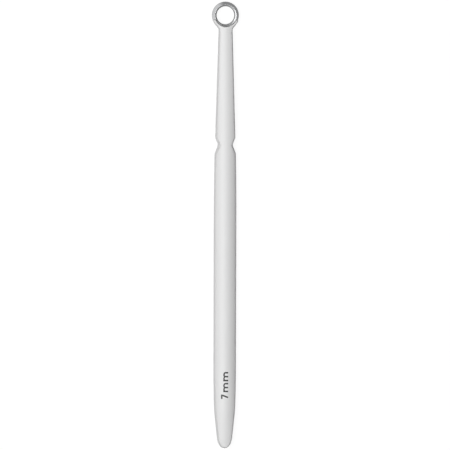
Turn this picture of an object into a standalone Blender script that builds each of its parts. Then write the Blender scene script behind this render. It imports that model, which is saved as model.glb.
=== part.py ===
"""Dermal curette: a disposable ring curette, lying on its back.

A moulded plastic handle carries a sharpened steel ring at its end. The ring sits in a groove of
the handle's yoke, and a flat steel tang behind it is buried in the neck, where a column of the
plastic runs through its hole. +Y points along the tool toward the ring, +X to its right and +Z
out of its front. The origin is on the surface that the tool lies on, under its middle.
"""

import math
from collections import namedtuple

import bmesh
import bpy

# Whole tool
TOOL_LENGTH = 0.1460  # from the nose of the handle to the far side of the ring
FIT_GAP = 0.0003  # left between two pieces that touch on the real tool

# Steel ring, with one bevel outside and one inside of its cutting edge
RING_DIAMETER = 0.00876
CUTTING_DIAMETER = 0.0070
BORE_DIAMETER = 0.0058
RING_HEIGHT = 0.0016
OUTER_LAND = 0.0003  # straight wall below the outer bevel
INNER_LAND = 0.0005  # straight wall below the inner bevel

# Yoke, whose two arms run up round the ring
YOKE_OVERHANG = 0.00017  # how far the arms stand out past the ring's side
FLARE_ANGLE = math.radians(38.5)  # between the yoke's sides and the tool's axis
ARM_SWEEP = math.radians(16.5)  # how far each arm follows the ring past the flare
LIP_SETBACK = 0.0002  # from the cutting edge back to the lip over the outer bevel
YOKE_THICKNESS = 0.0034

# Neck, which tapers from the waist to the yoke
NECK_LENGTH = 0.03535
NECK_TOP_WIDTH = 0.00452
NECK_BASE_WIDTH = 0.0066
NECK_TOP_THICKNESS = 0.0036
NECK_BASE_THICKNESS = 0.0052
NECK_WALL = 0.00075  # plastic left beside the tang

# Waist, a notch cut straight down through both sides
WAIST_WIDTH = 0.00494
WAIST_RISE = 0.0025  # along the tool, from the narrowest place up to the neck
WAIST_FALL = 0.0029  # and from there down to the grip
WAIST_ROUNDING = 0.25  # how blunt the bottom of the notch is, as a share of its length

# Grip, with its full width over its straight middle
GRIP_WIDTH = 0.00738
SHOULDER_WIDTH = 0.00696
SHOULDER_LENGTH = 0.0224  # over which the grip narrows toward the waist
SWELL_LENGTH = 0.0145  # over which it narrows toward the taper
HANDLE_THICKNESS = 0.0056  # before the back is made flat
CROWN_RADIUS = 0.0045  # of the front and of the back, across the tool
SIDE_DRAFT = math.radians(10.0)  # how far the side walls lean in, away from the middle plane
EDGE_POWER = 4  # how sharply the side walls turn into the front, 1 for a soft curve
BACK_FLAT_DEPTH = 0.0002  # taken off the back along its middle, so that the tool lies still
REST_START = 0.0135  # from the nose to where the back meets the table
REST_SETBACK = 0.0065  # from the shoulder down to where it leaves the table again

# Taper and nose at the lower end
TAPER_LENGTH = 0.0125
TAPER_WIDTH = 0.0069
TAPER_ANGLE = math.radians(6.05)  # between its sides and the tool's axis
NOSE_LENGTH = 0.0042  # from the tip to the middle of the nose's ellipse
NOSE_THICKNESS = 0.0044
TIP_THICKNESS = 0.0034

# Steel tang behind the ring
TANG_LENGTH = 0.0090
TANG_THICKNESS = 0.0008
ANCHOR_HOLE = 0.0014

# Places and sizes that follow from those above
RING_CENTRE = TOOL_LENGTH - RING_DIAMETER / 2  # from the nose, along the tool
YOKE_RADIUS = RING_DIAMETER / 2 + YOKE_OVERHANG
FLARE_TOP = RING_CENTRE - YOKE_RADIUS * math.sin(FLARE_ANGLE)
FLARE_LENGTH = (YOKE_RADIUS * math.cos(FLARE_ANGLE) - NECK_TOP_WIDTH / 2) / math.tan(FLARE_ANGLE)
NECK_TOP = FLARE_TOP - FLARE_LENGTH
NECK_BASE = NECK_TOP - NECK_LENGTH
WAIST = NECK_BASE - WAIST_RISE
SHOULDER = WAIST - WAIST_FALL
GRIP_TOP = SHOULDER - SHOULDER_LENGTH
GRIP_BASE = TAPER_LENGTH + SWELL_LENGTH
REST_TOP = SHOULDER - REST_SETBACK
AXIS_HEIGHT = HANDLE_THICKNESS / 2 - BACK_FLAT_DEPTH
TANG_WIDTH = NECK_TOP_WIDTH - 2 * (NECK_WALL + FIT_GAP)
TANG_END = RING_CENTRE - RING_DIAMETER / 2 - FIT_GAP - TANG_LENGTH

# How finely the round shapes are cut into faces
SIDE_STEPS = 24
RING_STEPS = 72
HOLE_STEPS = 24
NOSE_STEPS = 7
SHORT_STEPS = 4
ARM_STEPS = 5
MERGE_DISTANCE = 0.000001

# The handle's section at one place: distance from the nose, half width, half thickness at the
# crown, and how far the crown is drawn out sideways
Station = namedtuple("Station", "along half_width half_thickness spread")


def fractions(steps):
    """Even steps from just past 0 up to 1."""
    return [step / steps for step in range(1, steps + 1)]


def blend(start, end, share):
    """The value at this share of the way from start to end."""
    return start + (end - start) * share


def nose_stations():
    """The round nose. In plan it is an ellipse on which the taper's sides are tangents."""
    slope = math.tan(TAPER_ANGLE)
    line_width = TAPER_WIDTH / 2 - slope * (TAPER_LENGTH - NOSE_LENGTH)
    nose_width = math.sqrt(line_width**2 - (NOSE_LENGTH * slope) ** 2)
    sweep = math.acos(NOSE_LENGTH * slope / line_width)
    for share in fractions(NOSE_STEPS):
        along = NOSE_LENGTH * (1 - math.cos(sweep * share))
        half_thickness = blend(TIP_THICKNESS, NOSE_THICKNESS, share) / 2
        yield Station(along, nose_width * math.sin(sweep * share), half_thickness, 1.0)


def taper_stations(start):
    """Straight sides from the nose to the grip."""
    for share in fractions(SHORT_STEPS):
        yield Station(
            blend(start.along, TAPER_LENGTH, share),
            blend(start.half_width, TAPER_WIDTH / 2, share),
            blend(start.half_thickness, HANDLE_THICKNESS / 2, share),
            1.0,
        )


def grip_stations():
    """Swells to the full width, runs straight, and narrows to the shoulder below the waist."""
    thick = HANDLE_THICKNESS / 2
    full = GRIP_WIDTH / 2
    for share in fractions(SHORT_STEPS):
        half_width = blend(full, TAPER_WIDTH / 2, (1 - share) ** 2)
        yield Station(blend(TAPER_LENGTH, GRIP_BASE, share), half_width, thick, 1.0)
    for share in [0.0, *fractions(SHORT_STEPS)]:
        half_width = blend(full, SHOULDER_WIDTH / 2, share**2)
        yield Station(blend(GRIP_TOP, SHOULDER, share), half_width, thick, 1.0)


def notch_depth(distance):
    """Height above the bottom of the waist's notch, with both 0 at the bottom and 1 at its rim."""
    blunt = WAIST_ROUNDING
    return (math.hypot(distance, blunt) - blunt) / (math.hypot(1.0, blunt) - blunt)


def waist_stations():
    """Down into the waist and up again to the foot of the neck."""
    steps = fractions(SHORT_STEPS)
    falling = [(blend(WAIST, SHOULDER, 1 - share), SHOULDER_WIDTH, 1 - share) for share in steps]
    rising = [(blend(WAIST, NECK_BASE, share), NECK_BASE_WIDTH, share) for share in steps]
    for along, rim_width, distance in falling + rising:
        share = (along - SHOULDER) / (NECK_BASE - SHOULDER)
        yield Station(
            along,
            blend(WAIST_WIDTH, rim_width, notch_depth(distance)) / 2,
            blend(HANDLE_THICKNESS, NECK_BASE_THICKNESS, share) / 2,
            1.0,
        )


def neck_stations():
    """Straight sides from the waist to the yoke."""
    for share in fractions(SHORT_STEPS):
        yield Station(
            blend(NECK_BASE, NECK_TOP, share),
            blend(NECK_BASE_WIDTH, NECK_TOP_WIDTH, share) / 2,
            blend(NECK_BASE_THICKNESS, NECK_TOP_THICKNESS, share) / 2,
            1.0,
        )


def yoke_stations():
    """Flares out to the ring's side, then follows the ring to where the arms end."""
    plan = []
    for share in fractions(SHORT_STEPS):
        half_width = blend(NECK_TOP_WIDTH / 2, YOKE_RADIUS * math.cos(FLARE_ANGLE), share)
        plan.append((blend(NECK_TOP, FLARE_TOP, share), half_width))
    for share in fractions(ARM_STEPS):
        angle = FLARE_ANGLE - ARM_SWEEP * share
        plan.append((RING_CENTRE - YOKE_RADIUS * math.sin(angle), YOKE_RADIUS * math.cos(angle)))
    top = plan[-1][0]
    for along, half_width in plan:
        share = (along - NECK_TOP) / (top - NECK_TOP)
        yield Station(
            along,
            half_width,
            blend(NECK_TOP_THICKNESS, YOKE_THICKNESS, share) / 2,
            half_width / (NECK_TOP_WIDTH / 2),
        )


def side_squareness(stations):
    """For each station, the cosine of the angle between the side's outline and the tool's axis."""
    plan = [(0.0, 0.0), *((station.along, station.half_width) for station in stations)]
    pairs = zip(plan, [*plan[2:], plan[-1]])
    steps = [(after[0] - before[0], after[1] - before[1]) for before, after in pairs]
    return [run / math.hypot(run, rise) for run, rise in steps]


def surface_height(station, squareness, across):
    """How far the front of the handle stands above its middle plane, this far off the axis.

    It is the lower of the crown and the side's wall, with the edge between the two rounded.
    """
    offset = across / station.spread
    crown = station.half_thickness - CROWN_RADIUS + math.sqrt(CROWN_RADIUS**2 - offset**2)
    wall = (station.half_width - abs(across)) * squareness / math.tan(SIDE_DRAFT)
    return crown * wall / (crown**EDGE_POWER + wall**EDGE_POWER) ** (1 / EDGE_POWER)


def section_points(station, squareness):
    """The section's outline, from the right side over the front and back under the tool."""
    angles = [math.pi * step / SIDE_STEPS for step in range(SIDE_STEPS)]
    front = [station.half_width * math.cos(angle) for angle in angles]
    points = [(across, surface_height(station, squareness, across)) for across in front]
    points += [(-across, -height) for across, height in points]
    return [(across, station.along, height) for across, height in points]


def new_object(name, mesh_data, parent):
    """Make an object of a bmesh, with its faces turned outward, under the given parent."""
    bmesh.ops.recalc_face_normals(mesh_data, faces=mesh_data.faces)
    mesh = bpy.data.meshes.new(name)
    mesh_data.to_mesh(mesh)
    mesh_data.free()
    mesh.shade_smooth()
    mesh.set_sharp_from_angle(angle=math.radians(35))
    piece = bpy.data.objects.new(name, mesh)
    piece.parent = parent
    bpy.context.scene.collection.objects.link(piece)
    return piece


def cut(piece, cutter):
    """Take one object's volume out of another with a Boolean, and hide the cutter."""
    cutter.hide_render = True
    cutter.display_type = "WIRE"
    modifier = piece.modifiers.new(f"minus {cutter.name}", "BOOLEAN")
    modifier.operation = "DIFFERENCE"
    modifier.solver = "EXACT"
    modifier.object = cutter


def loft(name, sections, tip, parent):
    """A closed body through the sections, from a pole at its tip to a flat last face."""
    body = bmesh.new()
    pole = body.verts.new(tip)
    rings = [[body.verts.new(point) for point in points] for points in sections]
    count = len(rings[0])
    for index in range(count):
        body.faces.new((pole, rings[0][index], rings[0][(index + 1) % count]))
    for lower, upper in zip(rings, rings[1:]):
        for index in range(count):
            after = (index + 1) % count
            body.faces.new((lower[index], lower[after], upper[after], upper[index]))
    body.faces.new(rings[-1])
    bmesh.ops.triangulate(body, faces=body.faces)
    return new_object(name, body, parent)


def turned(name, profile, parent):
    """A profile of (radius, height) points spun once round +Z. It closes on itself or on the axis."""
    body = bmesh.new()
    corners = [body.verts.new((radius, 0.0, height)) for radius, height in profile]
    edges = [body.edges.new(pair) for pair in zip(corners, corners[1:])]
    if profile[0][0] > 0.0:
        edges.append(body.edges.new((corners[-1], corners[0])))
    bmesh.ops.spin(
        body,
        geom=corners + edges,
        cent=(0.0, 0.0, 0.0),
        axis=(0.0, 0.0, 1.0),
        angle=math.tau,
        steps=RING_STEPS,
        use_merge=True,
    )
    bmesh.ops.remove_doubles(body, verts=body.verts, dist=MERGE_DISTANCE)
    return new_object(name, body, parent)


def cylinder(name, radius, depth, steps, parent):
    """A plain cylinder about +Z, centred on its parent's place."""
    body = bmesh.new()
    bmesh.ops.create_cone(
        body, cap_ends=True, segments=steps, radius1=radius, radius2=radius, depth=depth
    )
    return new_object(name, body, parent)


def plate(name, half_width, thickness, low, high, parent):
    """A flat plate from low to high along +Y, with a half round end at low."""
    body = bmesh.new()
    outline = [(half_width, high), (-half_width, high)]
    for step in range(HOLE_STEPS + 1):
        angle = math.pi + math.pi * step / HOLE_STEPS
        outline.append((half_width * math.cos(angle), low + half_width * (1 + math.sin(angle))))
    base = body.faces.new([body.verts.new((x, y, -thickness / 2)) for x, y in outline])
    lifted = bmesh.ops.extrude_face_region(body, geom=[base])["geom"]
    corners = [item for item in lifted if isinstance(item, bmesh.types.BMVert)]
    bmesh.ops.translate(body, verts=corners, vec=(0.0, 0.0, thickness))
    return new_object(name, body, parent)


def back_cutter(parent):
    """What is cut off the back: level under the grip, rising to the nose and along the neck."""
    nose_height = BACK_FLAT_DEPTH - NOSE_THICKNESS / 2
    neck_height = BACK_FLAT_DEPTH - NECK_TOP_THICKNESS / 2
    line = [
        (NOSE_LENGTH, nose_height),
        (REST_START, -AXIS_HEIGHT),
        (REST_TOP, -AXIS_HEIGHT),
        (NECK_TOP, neck_height),
        (TOOL_LENGTH, neck_height),
        (TOOL_LENGTH, -HANDLE_THICKNESS),
        (-NOSE_LENGTH, -HANDLE_THICKNESS),
        (-NOSE_LENGTH, nose_height),
    ]
    body = bmesh.new()
    side = body.faces.new([body.verts.new((-GRIP_WIDTH, along, height)) for along, height in line])
    moved = bmesh.ops.extrude_face_region(body, geom=[side])["geom"]
    corners = [item for item in moved if isinstance(item, bmesh.types.BMVert)]
    bmesh.ops.translate(body, verts=corners, vec=(2 * GRIP_WIDTH, 0.0, 0.0))
    return new_object("back_cutter", body, parent)


def ring_profile():
    """The ring's section beside +Z, anticlockwise from the foot of its bore."""
    back = -RING_HEIGHT / 2
    return [
        (BORE_DIAMETER / 2, back),
        (RING_DIAMETER / 2, back),
        (RING_DIAMETER / 2, back + OUTER_LAND),
        (CUTTING_DIAMETER / 2, RING_HEIGHT / 2),
        (BORE_DIAMETER / 2, back + INNER_LAND),
    ]


def groove_profile():
    """What the ring and the view through it take out of the yoke, from the axis below to above.

    The lips in front and behind end at the window. The front lip follows the ring's outer bevel.
    """
    back = -RING_HEIGHT / 2
    window = CUTTING_DIAMETER / 2 + LIP_SETBACK
    side = RING_DIAMETER / 2 + FIT_GAP
    bevel_run = (RING_DIAMETER - CUTTING_DIAMETER) / 2
    bevel_rise = RING_HEIGHT - OUTER_LAND
    bevel_side = RING_DIAMETER / 2 + FIT_GAP * math.hypot(bevel_run, bevel_rise) / bevel_rise
    steepness = bevel_rise / bevel_run
    return [
        (0.0, -HANDLE_THICKNESS),
        (window, -HANDLE_THICKNESS),
        (window, back - FIT_GAP),
        (side, back - FIT_GAP),
        (side, back + OUTER_LAND + (bevel_side - side) * steepness),
        (window, back + OUTER_LAND + (bevel_side - window) * steepness),
        (window, HANDLE_THICKNESS),
        (0.0, HANDLE_THICKNESS),
    ]


def material(name, colour, roughness, metallic):
    """A plain Principled material."""
    made = bpy.data.materials.new(name)
    made.use_nodes = True
    shader = made.node_tree.nodes["Principled BSDF"]
    shader.inputs["Base Color"].default_value = (*colour, 1.0)
    shader.inputs["Roughness"].default_value = roughness
    shader.inputs["Metallic"].default_value = metallic
    return made


def empty(name, place, parent=None):
    """A frame that pieces are placed in."""
    frame = bpy.data.objects.new(name, None)
    frame.location = place
    frame.parent = parent
    bpy.context.scene.collection.objects.link(frame)
    return frame


def build_ring(ring_frame):
    """The sharpened ring, its cutting edge to the front."""
    ring = turned("ring_blade", ring_profile(), ring_frame)
    ring.data.materials.append(material("ground_steel", (0.62, 0.63, 0.64), 0.22, 1.0))


def build_tang(tool_frame, ring_frame, anchor_frame):
    """The flat tang. Its upper end is hollowed to the ring's side and its lower end has a hole."""
    tang = plate("blade_tang", TANG_WIDTH / 2, TANG_THICKNESS, TANG_END, RING_CENTRE, tool_frame)
    seat_radius = RING_DIAMETER / 2 + FIT_GAP
    cut(tang, cylinder("ring_seat", seat_radius, RING_HEIGHT, RING_STEPS, ring_frame))
    cut(tang, cylinder("anchor_hole", ANCHOR_HOLE / 2, RING_HEIGHT, HOLE_STEPS, anchor_frame))
    tang.data.materials.append(material("stamped_steel", (0.55, 0.56, 0.57), 0.4, 1.0))


def build_handle(tool_frame, ring_frame, anchor_frame):
    """The moulded handle, cut for the ring, for the tang and flat along its back."""
    nose = list(nose_stations())
    stations = [*nose, *taper_stations(nose[-1]), *grip_stations(), *waist_stations()]
    stations += [*neck_stations(), *yoke_stations()]
    squareness = side_squareness(stations)
    sections = [section_points(*pair) for pair in zip(stations, squareness)]
    handle = loft("handle", sections, (0.0, 0.0, 0.0), tool_frame)

    cut(handle, turned("ring_groove", groove_profile(), ring_frame))
    pocket_width = TANG_WIDTH / 2 + FIT_GAP
    pocket_depth = TANG_THICKNESS + 2 * FIT_GAP
    pocket_end = TANG_END - FIT_GAP
    pocket = plate("tang_pocket", pocket_width, pocket_depth, pocket_end, RING_CENTRE, tool_frame)
    column_radius = ANCHOR_HOLE / 2 - FIT_GAP
    cut(pocket, cylinder("anchor_column", column_radius, NECK_TOP_THICKNESS, HOLE_STEPS, anchor_frame))
    cut(handle, pocket)

    cut(handle, back_cutter(tool_frame))
    handle.data.materials.append(material("white_plastic", (0.80, 0.80, 0.80), 0.38, 0.0))


def main():
    """Build the whole tool in an empty scene."""
    for leftover in list(bpy.data.objects):
        bpy.data.objects.remove(leftover)
    tool_frame = empty("tool_frame", (0.0, -TOOL_LENGTH / 2, AXIS_HEIGHT))
    ring_frame = empty("ring_frame", (0.0, RING_CENTRE, 0.0), tool_frame)
    anchor_frame = empty("anchor_frame", (0.0, TANG_END + TANG_WIDTH / 2, 0.0), tool_frame)
    build_handle(tool_frame, ring_frame, anchor_frame)
    build_ring(ring_frame)
    build_tang(tool_frame, ring_frame, anchor_frame)


main()
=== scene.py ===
"""Looks of the dermal curette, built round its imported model.

The tool lies on its back on a white table. +Y runs along it toward the ring, +X to its right and
+Z out of its front. The moulded handle and the ground ring are modelled again here as fine
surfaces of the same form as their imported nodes, and the buried tang keeps its node. Shapes are
worked out in the tool's own coordinates: x across it, s along it from the tip of its nose, and z
out of its middle plane.
"""

import logging
import math
from dataclasses import dataclass
from enum import Enum

import bmesh
import bpy
import numpy as np
from mathutils import Matrix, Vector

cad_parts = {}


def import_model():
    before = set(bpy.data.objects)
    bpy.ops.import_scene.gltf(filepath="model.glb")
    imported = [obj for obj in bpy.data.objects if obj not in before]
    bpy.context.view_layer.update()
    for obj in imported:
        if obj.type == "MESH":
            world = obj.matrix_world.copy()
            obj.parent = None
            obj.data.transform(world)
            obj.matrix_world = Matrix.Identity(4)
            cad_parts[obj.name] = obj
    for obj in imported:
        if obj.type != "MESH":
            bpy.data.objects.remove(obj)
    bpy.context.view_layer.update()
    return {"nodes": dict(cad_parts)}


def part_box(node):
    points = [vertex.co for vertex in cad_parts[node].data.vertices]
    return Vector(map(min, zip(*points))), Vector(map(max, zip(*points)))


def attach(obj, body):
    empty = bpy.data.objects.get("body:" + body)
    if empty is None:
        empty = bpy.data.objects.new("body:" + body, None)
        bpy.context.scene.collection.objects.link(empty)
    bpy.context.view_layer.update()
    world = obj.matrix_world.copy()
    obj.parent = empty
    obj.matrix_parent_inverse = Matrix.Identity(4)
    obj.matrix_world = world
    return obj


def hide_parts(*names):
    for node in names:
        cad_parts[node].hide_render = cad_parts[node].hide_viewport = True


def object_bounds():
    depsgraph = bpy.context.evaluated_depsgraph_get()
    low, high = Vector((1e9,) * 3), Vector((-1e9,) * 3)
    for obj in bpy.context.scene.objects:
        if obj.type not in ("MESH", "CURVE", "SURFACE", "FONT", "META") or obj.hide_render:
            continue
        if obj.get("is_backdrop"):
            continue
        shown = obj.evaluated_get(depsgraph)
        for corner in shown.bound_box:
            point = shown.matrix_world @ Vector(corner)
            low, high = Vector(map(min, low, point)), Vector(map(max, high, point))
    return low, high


MM = 0.001
WELD_DISTANCE = 0.0004 * MM
TINY = 1e-9
Numbers = np.ndarray | float
Triple = tuple[float, float, float]
log = logging.getLogger("curette")


class Slot(Enum):
    """Names of the material slots of the handle, the blade and the print."""

    HANDLE = "handle_plastic"
    BLADE = "blade_steel"
    INK = "print_ink"


def soft_min(first: Numbers, second: Numbers, softness: float) -> Numbers:
    """The lower of two curves, with their crossing rounded off.

    It is half of their sum less the root of their difference squared plus the softness squared.

    Args:
        first: Values of one curve.
        second: Values of the other.
        softness: How far apart the curves still round each other off, in metres.

    Returns:
        The rounded minimum.
    """
    return 0.5 * (first + second - np.sqrt((first - second) ** 2 + softness**2))


def soft_ramp(distance: Numbers, reach: float) -> Numbers:
    """0 before a corner and the distance past it, joined by a parabola from -reach to +reach.

    Args:
        distance: Distance past the corner.
        reach: Half the length of the parabola.

    Returns:
        The ramp.
    """
    rounded = (np.clip(distance, -reach, reach) + reach) ** 2 / (4 * reach)
    return np.where(distance > reach, distance, rounded)


def smooth_step(value: Numbers) -> Numbers:
    """0 below 0, 1 above 1, and three squares less two cubes in between."""
    share = np.clip(value, 0.0, 1.0)
    return share**2 * (3 - 2 * share)


def pose(right: np.ndarray, up: np.ndarray, backward: np.ndarray, place: np.ndarray) -> Matrix:
    """The matrix of a lamp or camera from its three axes and its place."""
    rows = np.stack([right, up, backward, place], axis=1)
    return Matrix([*rows.tolist(), [0.0, 0.0, 0.0, 1.0]])


class Surface:
    """Grids and polygons of points that are welded into one closed mesh."""

    def __init__(self) -> None:
        """Start with nothing."""
        self.points: list[np.ndarray] = []
        self.faces: list[list[int]] = []
        self.count = 0

    def add_grid(self, points: np.ndarray, closed: bool = False) -> None:
        """Add a grid of quads.

        Args:
            points: Rows by columns by 3 coordinates.
            closed: Whether the last column joins the first.
        """
        rows, columns = points.shape[:2]
        index = self.count + np.arange(rows * columns).reshape(rows, columns)
        if closed:
            index = np.hstack([index, index[:, :1]])
        corners = (index[:-1, :-1], index[:-1, 1:], index[1:, 1:], index[1:, :-1])
        self.faces += np.stack(corners, axis=-1).reshape(-1, 4).tolist()
        self.points.append(points.reshape(-1, 3))
        self.count += rows * columns

    def add_polygon(self, points: np.ndarray) -> None:
        """Add one polygon.

        Args:
            points: Its corners, in their order.
        """
        self.faces.append(list(range(self.count, self.count + len(points))))
        self.points.append(points)
        self.count += len(points)

    def build(self, name: str, crease: float) -> bpy.types.Object:
        """Weld what was added and link it to the scene.

        Args:
            name: Name of the object.
            crease: Faces that meet at more than this many degrees are shaded with an edge.

        Returns:
            The object, at the origin.
        """
        mesh = bpy.data.meshes.new(name)
        mesh.from_pydata(np.concatenate(self.points).tolist(), [], self.faces)
        work = bmesh.new()
        work.from_mesh(mesh)
        bmesh.ops.remove_doubles(work, verts=work.verts, dist=WELD_DISTANCE)
        bmesh.ops.dissolve_degenerate(work, edges=work.edges, dist=WELD_DISTANCE)
        bmesh.ops.recalc_face_normals(work, faces=work.faces)
        open_edges = sum(1 for edge in work.edges if len(edge.link_faces) != 2)
        work.to_mesh(mesh)
        work.free()
        mesh.shade_smooth()
        mesh.set_sharp_from_angle(angle=math.radians(crease))
        piece = bpy.data.objects.new(name, mesh)
        bpy.context.scene.collection.objects.link(piece)
        log.info("%s: %d faces, %d open edges", name, len(mesh.polygons), open_edges)
        return piece


@dataclass(frozen=True)
class ToolFrame:
    """Where the tool lies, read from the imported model."""

    length: float
    ring_centre: float
    ring_radius: float
    ring_height: float
    axis_height: float

    @classmethod
    def from_model(cls) -> "ToolFrame":
        """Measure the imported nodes.

        Returns:
            The tool's length, the ring's place and size, and the height of the middle plane.
        """
        low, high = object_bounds()
        ring_low, ring_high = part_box("ring_blade")
        return cls(
            length=high[1] - low[1],
            ring_centre=(ring_low.y + ring_high.y) / 2 - low[1],
            ring_radius=(ring_high.x - ring_low.x) / 2,
            ring_height=ring_high.z - ring_low.z,
            axis_height=(ring_low.z + ring_high.z) / 2,
        )

    def place(self, across: Numbers, along: Numbers, height: Numbers) -> np.ndarray:
        """Stack tool coordinates into points of the scene.

        Args:
            across: x of each point.
            along: s of each point.
            height: z of each point above the middle plane.

        Returns:
            The points, with a last axis of 3.
        """
        across, along, height = np.broadcast_arrays(across, along, height)
        return np.stack([across, along - self.length / 2, height + self.axis_height], axis=-1)

    def round_ring(self, radius: Numbers, angle: Numbers, height: Numbers) -> np.ndarray:
        """Points about the ring's centre, by the sine and cosine of an angle.

        Args:
            radius: Distance of each point from the ring's axis.
            angle: Its direction, 0 toward the handle and a quarter turn to the right.
            height: z of each point above the middle plane.

        Returns:
            The points, with a last axis of 3.
        """
        along = self.ring_centre - radius * np.cos(angle)
        return self.place(radius * np.sin(angle), along, height)

    def ring_middle(self) -> np.ndarray:
        """The ring's centre as a point of the scene."""
        return self.place(0.0, self.ring_centre, 0.0)


@dataclass(frozen=True)
class RingSection:
    """The ring's section: a bevel outside and a bevel inside of the cutting edge, and a flat back.

    Next to the edge the inside has a second, flatter bevel from the last grinding.
    """

    cutting_radius: float = 3.5 * MM
    bore_radius: float = 2.9 * MM
    outer_land: float = 0.3 * MM
    inner_land: float = 0.5 * MM
    honed_width: float = 0.06 * MM
    second_bevel: float = 0.42 * MM
    second_drop: float = 0.21 * MM
    corner_radius: float = 0.06 * MM
    edge_radius: float = 0.015 * MM

    def bevel_height(self, radius: Numbers, tool: ToolFrame) -> Numbers:
        """Height of the outer bevel's straight line, level below its foot.

        Args:
            radius: Distance from the ring's axis.
            tool: The tool's frame.

        Returns:
            The height above the middle plane.
        """
        foot = self.outer_land - tool.ring_height / 2
        slope = (tool.ring_height - self.outer_land) / (tool.ring_radius - self.cutting_radius)
        return foot + slope * np.maximum(tool.ring_radius - radius, 0.0)

    def corners(self, tool: ToolFrame) -> np.ndarray:
        """The section's corners, anticlockwise from the back of the bore.

        Args:
            tool: The tool's frame.

        Returns:
            Radius, height and rounding of each corner.
        """
        back = -tool.ring_height / 2
        top = tool.ring_height / 2
        edge_outside = self.cutting_radius + self.honed_width / 2
        edge_inside = self.cutting_radius - self.honed_width / 2
        return np.array([
            (self.bore_radius, back, self.corner_radius),
            (tool.ring_radius, back, self.corner_radius),
            (tool.ring_radius, back + self.outer_land, self.corner_radius),
            (edge_outside, top, self.edge_radius),
            (edge_inside, top, self.edge_radius),
            (edge_inside - self.second_bevel, top - self.second_drop, self.corner_radius),
            (self.bore_radius, back + self.inner_land, self.corner_radius),
        ])


@dataclass(frozen=True)
class GroundRing:
    """The sharpened steel ring."""

    tool: ToolFrame
    section: RingSection
    turn_steps: int = 320
    arc_steps: int = 5
    side_steps: int = 5
    crease: float = 30.0

    def profile(self) -> np.ndarray:
        """The section's outline with rounded corners.

        Each corner is replaced by the arc of its radius that both of its sides are tangents of,
        and each side is cut into equal steps.

        Returns:
            Radius and height of each point of the closed outline.
        """
        table = self.section.corners(self.tool)
        corners, radii = table[:, :2], table[:, 2]
        share = np.linspace(0.0, 1.0, self.arc_steps + 1)[:, None]
        arcs = []
        for index, radius in enumerate(radii):
            here = corners[index]
            back = corners[index - 1] - here
            ahead = corners[(index + 1) % len(corners)] - here
            back /= np.linalg.norm(back)
            ahead /= np.linalg.norm(ahead)
            half_angle = math.acos(back @ ahead) / 2
            inward = (back + ahead) / np.linalg.norm(back + ahead)
            centre = here + inward * radius / math.sin(half_angle)
            first = here + back * radius / math.tan(half_angle) - centre
            last = here + ahead * radius / math.tan(half_angle) - centre
            turn = math.pi - 2 * half_angle
            arc = (np.sin((1 - share) * turn) * first + np.sin(share * turn) * last) / math.sin(turn)
            arcs.append(centre + arc)
        share = np.linspace(0.0, 1.0, self.side_steps + 1)[1:-1, None]
        outline = []
        for arc, following in zip(arcs, arcs[1:] + arcs[:1]):
            outline += [arc, arc[-1] + (following[0] - arc[-1]) * share]
        return np.concatenate(outline)

    def build(self) -> bpy.types.Object:
        """Carry the profile once round the ring's axis.

        Returns:
            The ring.
        """
        radius, height = self.profile().T
        angle = np.linspace(0.0, math.tau, self.turn_steps, endpoint=False)[:, None]
        points = self.tool.round_ring(radius, angle, height)
        surface = Surface()
        surface.add_grid(np.concatenate([points, points[:1]]), closed=True)
        return surface.build("ground_ring", self.crease)


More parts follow.
